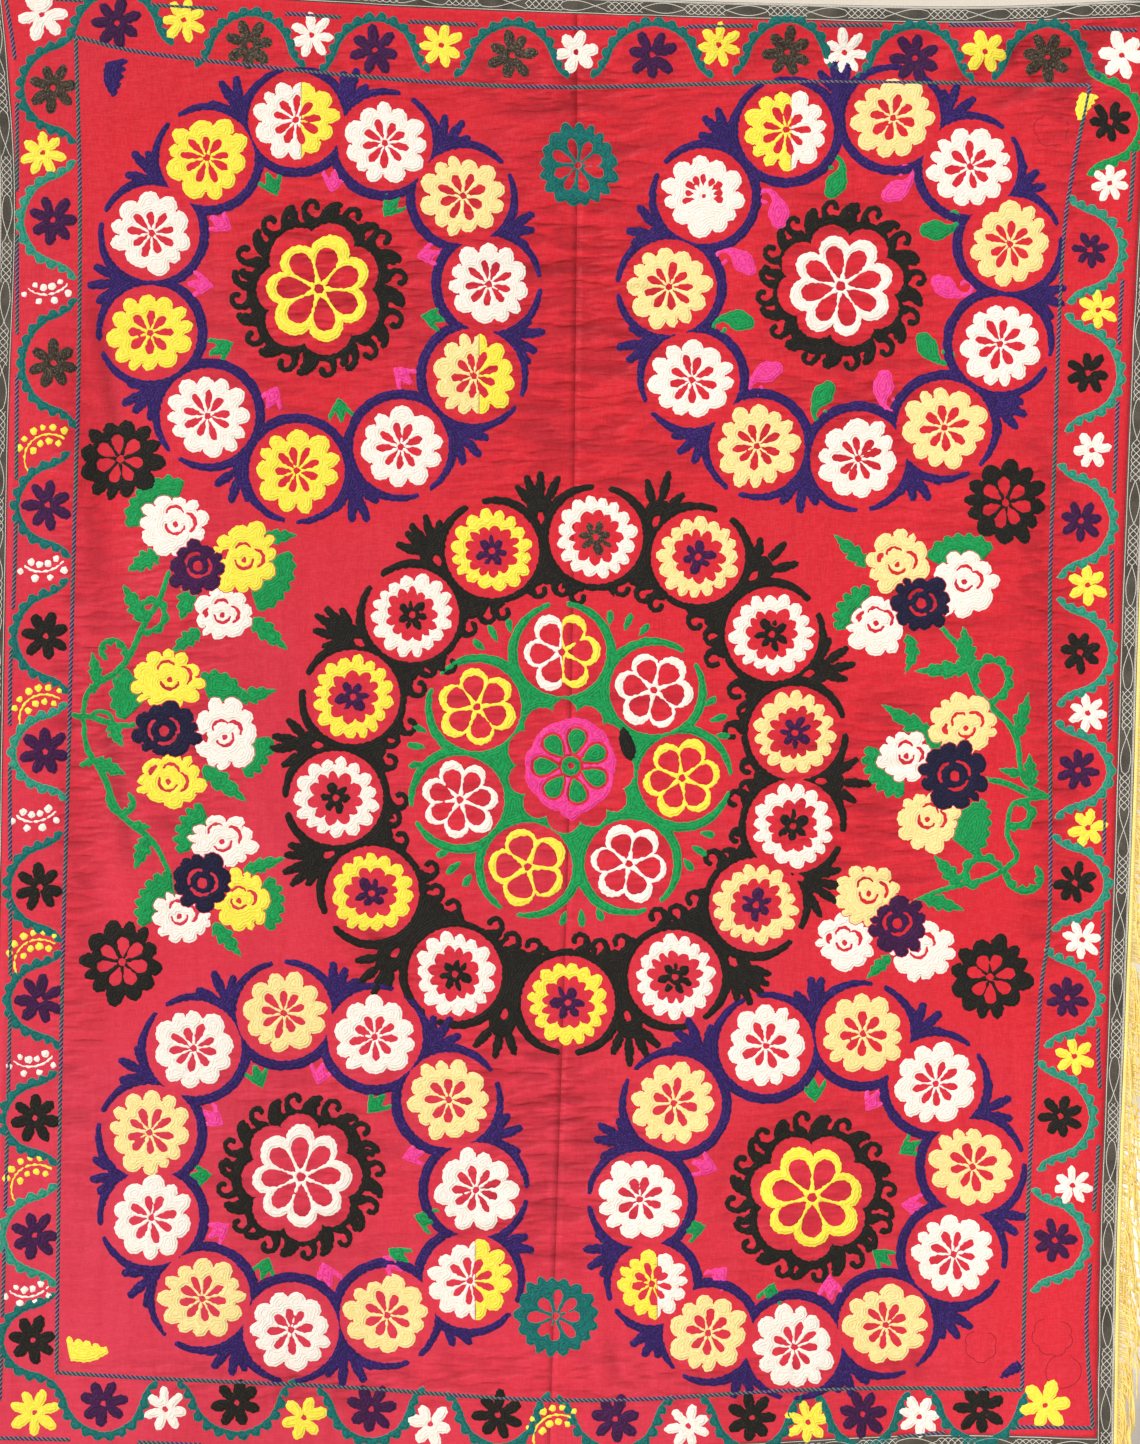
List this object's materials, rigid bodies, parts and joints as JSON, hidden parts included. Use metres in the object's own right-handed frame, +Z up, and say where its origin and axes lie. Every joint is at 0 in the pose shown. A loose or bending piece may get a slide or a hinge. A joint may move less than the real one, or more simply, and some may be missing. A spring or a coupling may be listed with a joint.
{
  "type": "suzani embroidered textile",
  "caption": "Hung red cotton cloth embroidered with flower roundels and a flowering vine border, bound with stitched tape and fringed with yellow yarn at the sides and foot.",
  "frame": {"origin": "middle of the top edge, at mid thickness", "axes": "+Z up the hanging cloth, +X across it to the viewer's right, the embroidered face towards -Y"},
  "size_m": [1.8991, 0.0345, 2.3277],
  "materials": {
    "red_cotton": "plain woven cotton, matte with a faint sheen",
    "grey_tape": "woven cotton tape, faded grey-black",
    "fringe_yarn": "loosely twisted yellow yarn",
    "white_stitching": "white machine stitching",
    "ivory_thread": "silky chain stitch",
    "yellow_thread": "silky chain stitch",
    "straw_thread": "silky chain stitch",
    "purple_thread": "silky chain stitch",
    "plum_thread": "silky chain stitch",
    "navy_thread": "silky chain stitch",
    "black_thread": "worn black chain stitch",
    "green_thread": "silky chain stitch",
    "teal_thread": "silky chain stitch",
    "sea_green_thread": "silky chain stitch",
    "pink_thread": "silky chain stitch"
  },
  "bodies": {
    "root": {"panel_left": "red_cotton", "panel_right": "red_cotton", "binding_top": "grey_tape", "binding_left": "grey_tape", "binding_right": "grey_tape", "binding_foot": "grey_tape", "fringe_left": "fringe_yarn", "fringe_right": "fringe_yarn", "fringe_foot": "fringe_yarn"}
  },
  "joints": []
}
